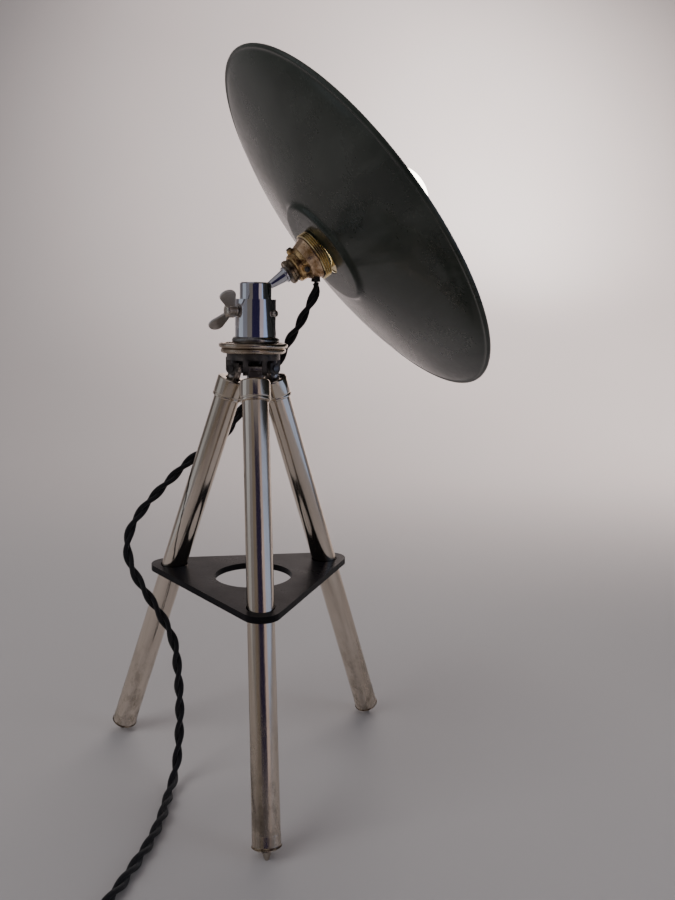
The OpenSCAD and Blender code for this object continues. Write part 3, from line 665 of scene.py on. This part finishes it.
def wing_shape():
    """Threaded shank, a knurled hub and two dished oval wings."""
    x_up = turn("Y", 90)
    shank = lathe(fillet([
        (1e-4, 11.4), (2.5, 11.4), (2.5, 15.9), (4.4, 15.9), (4.4, 17.6), (1e-4, 17.6)], 0.2), 40)
    n = 112
    outline = fillet([
        (1e-4, 17.6), (4.9, 17.6), (5.4, 18.1), (5.4, 22.9), (4.7, 24.2), (3, 25), (1e-4, 25)], 0.25)
    verts, faces = lathe(outline, n)
    m = len(outline)
    for k in range(n):
        if k % 4 in (0, 1):
            for i in range(m):
                x, y, z = verts[k * m + i]
                if math.hypot(x, y) > 5.2:
                    verts[k * m + i] = (x * 0.94, y * 0.94, z)
    parts = [moved(shank, x_up), moved((verts, faces), x_up)]
    points = []
    for x, y, r, sides in ((-0.6, -1, 3, 40), (5.5, 10.5, 6.2, 56)):
        points += [(x + r * math.cos(a), y + r * math.sin(a)) for a in np.linspace(0, 2 * math.pi, sides, False)]
    ring = [points[i] for i in convex_hull_2d([Vector(p) for p in points])]
    for a in (-48, 132):
        parts.append(moved(prism(ring, -0.9, 0.9, 0.7, 4), turn("X", a) @ shift(22, 0, 5) @ turn("X", 90)))
    return joined(*parts)


wings = shaped("wing_screw", wing_shape(), [bright_nickel, worn_nickel], "wing", AT_CLAMP, "nickel", sharp=40)
second_where(wings, lambda middle: math.hypot(middle.y, middle.z) < 5.5 * MM)

# Ball and stud
lathed("ball_stud", [(1e-4, -10)] + arc(0, 0, 10, -86, 73, 40) + [
    (2.9, 9.58), (2.9, 13), (4.9, 27.0), (6.3, 27.2), (6.3, 28.8), (5.2, 28.9), (5.2, 30.2), (4.9, 30.2),
    (4.9, 39.7), (1e-4, 39.7)],
    chrome, "lamp_arm", AT_LAMP, "chrome", 0.35, 96)
lathed("stud_nut", [
    (4.95, 30.2), (9.0, 30.2), (9.6, 30.8), (9.6, 32.9), (9.1, 33.4), (8.7, 33.6), (8.9, 34.2), (8.8, 35.6),
    (4.95, 35.6)],
       dull_brass, "lamp_arm", AT_LAMP, "old_brass", 0.3, 96)

# Lampholder: cap with three screw bosses, skirt, threaded ring
CAP = [(5, 35.6), (9.4, 35.6), (10.4, 36.0), (11.2, 37.0), (11.5, 40.6), (11.2, 41.4), (12.0, 42.2),
       (12.6, 43), (13.6, 44.4), (12, 44.4), (11, 43), (9.8, 41.2), (9.2, 40), (5, 40)]
BOSS = [(1.3, 8), (3.3, 8), (2.8, 14.0), (1.3, 14.2)]


def at_boss(angle):
    return turn("Z", angle) @ shift(0, 0, BOSS_Z) @ turn("Y", 90)


bosses = [moved(lathe(fillet(BOSS, 0.4), 40), at_boss(a)) for a in BOSSES]
shaped("holder_cap", joined(lathe(fillet(CAP, 0.4), 96), *bosses), old_brass, "lamp_arm", AT_LAMP,
       "old_brass")
screws = [moved(joined(rod(1.25, 10.8, 14.4, 24, 0.1), slotted(2.2, 1.3, 14.2)), at_boss(a) @ turn("Z", 35))
          for a in BOSSES]
shaped("holder_cap_screws", joined(*screws), dark_steel, "lamp_arm", AT_LAMP, "dark_steel",
       sharp=50, merge=False)
lathed("holder_skirt", [
    (12.2, 44.4), (13.8, 44.4), (14.5, 46.0), (15.2, 47.8), (16.2, 50.2), (17.0, 51.6), (17, 52.4),
    (15.4, 52.4), (13.8, 48.4), (12.4, 45.4)],
    copper, "lamp_arm", AT_LAMP, "copper_skirt", 0.4, 128)
ridges = []
for k in range(4):
    z = RING_AT + k * RING_PITCH
    ridges += [(18.0, z + 0.02), (19.2, z + 0.5), (19.2, z + 1.0), (18.0, z + 1.5)]
ring = lathed("holder_ring", [(14.95, RING_AT)] + ridges + [(18.1, 58.9), (14.95, 58.9)], [brass, dull_brass],
              "lamp_arm", AT_LAMP, "brass", 0.16, 144)
second_where(ring, lambda middle: 15.2 < math.hypot(middle.x, middle.y) / MM < 18.5)
lathed("clamp_ring", [
    (14.95, 63.6), (20.9, 63.6), (21.5, 64.2), (21.5, 66.2), (20.6, 67), (18, 69.1), (14.95, 69.1)],
    brass, "lamp_arm", AT_LAMP, "brass", 0.35, 128)
lathed("holder_barrel", wall(14.1, 14.9, 52.4, 88), brass, "lamp_arm", AT_LAMP, "brass", 0.2, 96)
lathed("cord_grommet", [(2.4, -0.6), (3.35, -0.6), (3.35, 2.9), (3.6, 6), (3.1, 6.0), (2.4, 5.2)],
       rubber, "lamp_arm", AT_GROMMET, "grommet_rubber", 0.3, 48)

# Bulb: screw cap with its rolled thread, and the glass
thread = [(3.6, 65.8), (4.2, 67.8), (9.5, 68.6), (12.2, 70)]
for k in range(5):
    z = 70.4 + k * 3.4
    thread += [(12.9, z + 0.9), (12.9, z + 1.3), (12.1, z + 2.4), (12.1, z + 2.8)]
lathed("bulb_cap", [(1e-4, 65.8)] + thread + [(12.8, 88.4), (12.8, 92.4), (1e-4, 92.4)],
       tin, "lamp_arm", AT_LAMP, "bulb_cap_metal", 0.4, 96)
glass_out = [(13.4, 92.4), (13.5, 94.5), (14.0, 97.4), (15.1, 101.4), (16.7, 104.9), (18.6, 107.6)]
glass_out += arc(0, 130.4, 30, -47, 90, 40)
glass_out[-1] = (1e-4, 160.4)
shell = [Vector(p) for p in glass_out]
inside = [Vector((max(1e-4, p.x - 0.7), p.y - (0.7 if p.y > 146 else 0))) for p in reversed(shell)]
shaped("bulb_glass", lathe(shell + inside, 128), bulb_mat, "lamp_arm", AT_LAMP, "bulb_glass", sharp=60)


# Shade: enamelled sheet turned over a wire at the rim
def bowl(s):
    """Dish profile from the centre hole out, s millimetres inside its outer face."""
    flat = [(SHADE_HOLE, s), (30, s), (40.2, s)]
    step = [(41.8, 0.15 + s), (43.2, 1.0 + s), (43.8, 2.0 + s), (44.6, 3.0 + s), (46.8, 3.8 + s)]
    key = [(46.8, 3.8), (60, 6.5), (77, 10.1), (94.2, 13.9), (112, 18.1), (130.7, 22.9), (142, 26.5),
           (148.2, 29.3)]
    sweep = smooth_route([(x, 0, z) for x, z in key], 5)[1:]
    return flat + step + [(float(p[0]), float(p[2]) + s) for p in sweep]


def shade_piece():
    """The dish in one sheet: dark outside and over the rolled lip, white inside."""
    outside, lining = bowl(0), bowl(1.0)
    lip = arc(RIM_R, RIM_Z, LIP_R, -118, 118, 16)
    back = arc(RIM_R, RIM_Z, LIP_R, 118, 200, 5)[1:]
    outline = outside + lip + back + list(reversed(lining))
    m, n = len(outline), 256
    verts, faces = lathe(outline, n)
    obj = make("shade_dish", verts, faces, [enamel, enamel_white], "dish", AT_DISH,
               slot="enamel", sharp=50, merge=False)
    first = len(outside) + len(lip) + 1
    index = [1 if first <= f % m < m - 1 else 0 for f in range(m * n)]
    obj.data.polygons.foreach_set("material_index", index)
    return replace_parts(obj, "shade", "shade_rim_wire")


shade_piece()

# Strap round the coil, plug with its sleeve, pins
at_tie = AT_COIL @ turn("Z", 20) @ shift(44, 0, 0) @ turn("X", 90)


def strap():
    """A band of webbing round the turns of the coil, with its free end on top."""
    outer, inner = rounded(24.2, 15.4, 4.2, 10), rounded(22.8, 14.2, 3.8, 10)
    count = len(outer)
    verts, faces = [], []
    rows = [(0.0, -3.7), (0.35, -4.0), (1.0, -3.85), (1.0, 3.85), (0.35, 4.0), (0.0, 3.7)]
    for t, z in rows:
        for (ax, ay), (bx, by) in zip(inner, outer):
            verts.append((ax + (bx - ax) * t, ay + (by - ay) * t + 7.75, z))
    q = len(rows)
    for i in range(q):
        for k in range(count):
            j = (k + 1) % count
            faces.append((i * count + k, i * count + j, (i + 1) % q * count + j, (i + 1) % q * count + k))
    tongue = moved(prism(rounded(9, 5.4, 1.2), 0, 1.3, 0.4), shift(-5, 15.2, 0) @ turn("X", -90))
    return joined((verts, faces), tongue)


strap_piece = shaped("coil_tie", strap(), webbing, "stand", at_tie, "tie_fabric", sharp=50)


def plug_shape():
    """Flat two-pin plug: rounded sections from the grip to the face, finger ridges and a ribbed sleeve."""
    rings = [(0.0, 12.0, 10.6, 4.6), (1.2, 14.0, 12.0, 5.2), (5, 17.0, 12.4, 5.4), (10, 26, 13.2, 5.8),
             (14, 32, 13.6, 6.0), (16, 33, 13.6, 6.0), (22, 33, 13.6, 6.0), (30, 33, 13.6, 6.0),
             (36.6, 33, 13.6, 6.0), (37.6, 32.2, 12.8, 5.8), (38, 30.6, 11.2, 5.2)]
    verts, faces = [], []
    for x, wide, high, r in rings:
        for y, z in rounded(wide, high, min(r, high / 2 - 0.1), 8):
            verts.append((x, y, z))
    count = len(verts) // len(rings)
    for q in range(len(rings) - 1):
        for k in range(count):
            j = (k + 1) % count
            faces.append((q * count + k, q * count + j, (q + 1) * count + j, (q + 1) * count + k))
    faces += [tuple(range(count)), tuple(range((len(rings) - 1) * count, len(rings) * count))]
    sleeve = [(1e-4, -12), (4.0, -12)]
    for k in range(5):
        x = -11.4 + k * 2.2
        r = 4.4 + k * 0.3
        sleeve += [(r, x), (r + 0.1, x + 1.2), (r - 0.5, x + 1.4), (r - 0.5, x + 2.0)]
    sleeve += [(6, -0.4), (6, 0.5), (1e-4, 0.5)]
    grips = [moved(prism(rounded(1.3, 17, 0.6), 6.1, 7.1, 0.35), shift(x, 0, 0)) for x in (18, 21.5, 25)]
    grips += [moved(g, turn("X", 180)) for g in grips]
    return joined((verts, faces), moved(lathe(fillet(sleeve, 0.25), 48), turn("Y", 90)), *grips)


plug_piece = shaped("plug_body", plug_shape(), plastic, "stand", AT_PLUG, "plug_plastic",
                    sharp=38, merge=False)
pin = [(1e-4, 28), (1.6, 28), (1.6, 38), (2, 38), (2, 55.4), (1.5, 56.7), (1e-4, 57)]
pins = [moved(lathe(fillet(pin, 0.4), 40), shift(0, y, 0) @ turn("Y", 90)) for y in (-9.5, 9.5)]
pins_piece = shaped("plug_pins", joined(*pins), pin_metal, "stand", AT_PLUG, "pin_nickel")

# ---- CAD nodes that stay: their edges are eased and they get their materials ----
KEPT = {
    "crown": (casting, 0.7), "crown_screws": (dark_steel, 0.3), "hinge_pins": (dark_steel, 0.25),
    "tripod_screw": (chrome, 0.2), "spreader_plate": (board, 0.6), "head_body": (chrome, 0.3),
    "head_cap": (chrome, 0.3), "brake_pad": (brass, 0.2), "porcelain_insert": (china, 0.3),
    "lamp_contacts": (brass, 0.1),
}
for leg in LEGS:
    KEPT[leg + "_leg_knuckle"] = (knuckle_steel, 0.5)
    KEPT[leg + "_leg_rivet"] = (bright_nickel, 0.2)
    KEPT[leg + "_spike_foot"] = (worn_nickel, 0.25)
for node, (mat, width) in KEPT.items():
    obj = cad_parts[node]
    if not obj.data.materials:
        obj.data.materials.append(mat)
    for k in range(len(obj.data.materials)):
        obj.data.materials[k] = mat
    ease = obj.modifiers.new("eased_edges", "BEVEL")
    ease.width, ease.segments, ease.limit_method, ease.angle_limit = width * MM, 3, "ANGLE", 35 * D2R
    ease.use_clamp_overlap, ease.harden_normals = True, False


# ---- Light, floor and backdrop ----
def light(name, kind, where, look_at, power, colour):
    """A lamp in its place, aimed, that polished surfaces don't mirror."""
    data = bpy.data.lights.new(name, kind)
    data.energy, data.color = power, colour
    obj = bpy.data.objects.new(name, data)
    bpy.context.scene.collection.objects.link(obj)
    aim = (Vector(look_at) - Vector(where)).to_track_quat("-Z", "Y")
    obj.matrix_world = Matrix.Translation(where) @ aim.to_matrix().to_4x4()
    obj.visible_glossy = False
    return data


def area(name, where, look_at, size, power, colour=(1, 1, 1)):
    data = light(name, "AREA", where, look_at, power, colour)
    data.shape, data.size, data.size_y = "RECTANGLE", size[0], size[1]


area("key", (-1.5, -0.6, 1.5), (0, 0, 0.25), (1.2, 1.2), 15)
area("fill", (1.6, -0.9, 0.9), (0, 0, 0.25), (0.8, 1.2), 5, (0.86, 0.92, 1.0))
area("back", (0.5, 1.3, 1.8), (0, 0.3, 0.3), (1.6, 1.0), 14, (1, 0.97, 0.94))

world = bpy.data.worlds.new("studio")
bpy.context.scene.world = world
world.use_nodes = True
world.node_tree.nodes["Background"].inputs[0].default_value = (0.68, 0.66, 0.70, 1)
world.node_tree.nodes["Background"].inputs[1].default_value = 0.42


def stage_mesh(name, verts, faces, mats, index=None):
    data = bpy.data.meshes.new(name)
    data.from_pydata(verts, [], faces)
    for m in mats:
        data.materials.append(m)
    if index:
        data.polygons.foreach_set("material_index", index)
    data.polygons.foreach_set("use_smooth", [True] * len(faces))
    obj = bpy.data.objects.new(name, data)
    bpy.context.scene.collection.objects.link(obj)
    return obj


# Seamless sheet: floor, a wide curve and a wall far behind the lamp
floor_mat = paint("studio_floor", (0.42, 0.40, 0.40), (0.41, 0.39, 0.39), (0.62, 0.75), 3, 0.00005, 300)
CURVE_Y, CURVE_R = 1.0, 1.4
curve = [(CURVE_Y + CURVE_R * math.sin(a), CURVE_R - CURVE_R * math.cos(a))
         for a in np.linspace(0.06, math.pi / 2, 24)]
section = [(-6.0, 0.0), (CURVE_Y, 0.0)] + curve + [(2.4, 6.0)]
stage_mesh("floor", [(x, y, z) for y, z in section for x in (-6, 6)],
           [(2 * i, 2 * i + 1, 2 * i + 3, 2 * i + 2) for i in range(len(section) - 1)], [floor_mat])

# Cards in a ring round the lamp that only polished surfaces see: from and to angle, foot, colour
CARD_R, CARD_TOP = 1.3, 1.25
CARDS = [
    (-200, -168, 0.02, (0.40, 0.43, 0.48)), (-168, -142, 0.02, (0.20, 0.20, 0.22)),
    (-142, -115, 0.02, (0.17, 0.15, 0.13)), (-115, -73, 0.02, (0.018, 0.014, 0.045)),
    (-73, -51, 0.02, (0.50, 0.42, 0.42)), (-51, 0, 0.10, (0.40, 0.50, 0.74)),
    (0, 12, 0.02, (0.10, 0.11, 0.14)), (12, 40, 0.02, (0.24, 0.22, 0.23)),
]
verts, faces, mats, index = [], [], [], []
for a0, a1, low, colour in CARDS:
    glow = Shader("card_%d" % (a0 + 360), Base_Color=(0, 0, 0, 1), Emission_Strength=1.0, Roughness=1.0)
    glow.bsdf.inputs["Emission Color"].default_value = (*colour, 1)
    mats.append(glow.mat)
    for k in range(4):
        b0, b1 = ((a0 + (a1 - a0) * (k + q) / 4) * D2R for q in (0, 1))
        base = len(verts)
        verts += [(CARD_R * math.cos(b), CARD_R * math.sin(b), z) for z in (low, CARD_TOP) for b in (b0, b1)]
        faces.append((base, base + 1, base + 3, base + 2))
        index.append(len(mats) - 1)
cards = stage_mesh("cards", verts, faces, mats, index)
cards.visible_camera = cards.visible_diffuse = cards.visible_shadow = cards.visible_transmission = False

# Soft pools of light on the wall beyond the open side of the shade
def pool(name, where, look_at, angle, power, colour, radius):
    data = light(name, "SPOT", where, look_at, power, colour)
    data.spot_size, data.spot_blend, data.shadow_soft_size = angle * D2R, 1.0, radius


pool("glow", (1.0, 1.45, 0.98), (1.05, 2.4, 0.95), 110, 70, (1.0, 0.93, 0.88), 0.1)
pool("wash", (1.6, 0.55, 1.6), (1.25, 1.95, 0.2), 118, 330, (1.0, 0.86, 0.80), 0.2)
pool("top", (0.1, 1.0, 2.3), (0.35, 2.4, 1.15), 80, 190, (1.0, 0.89, 0.85), 0.2)
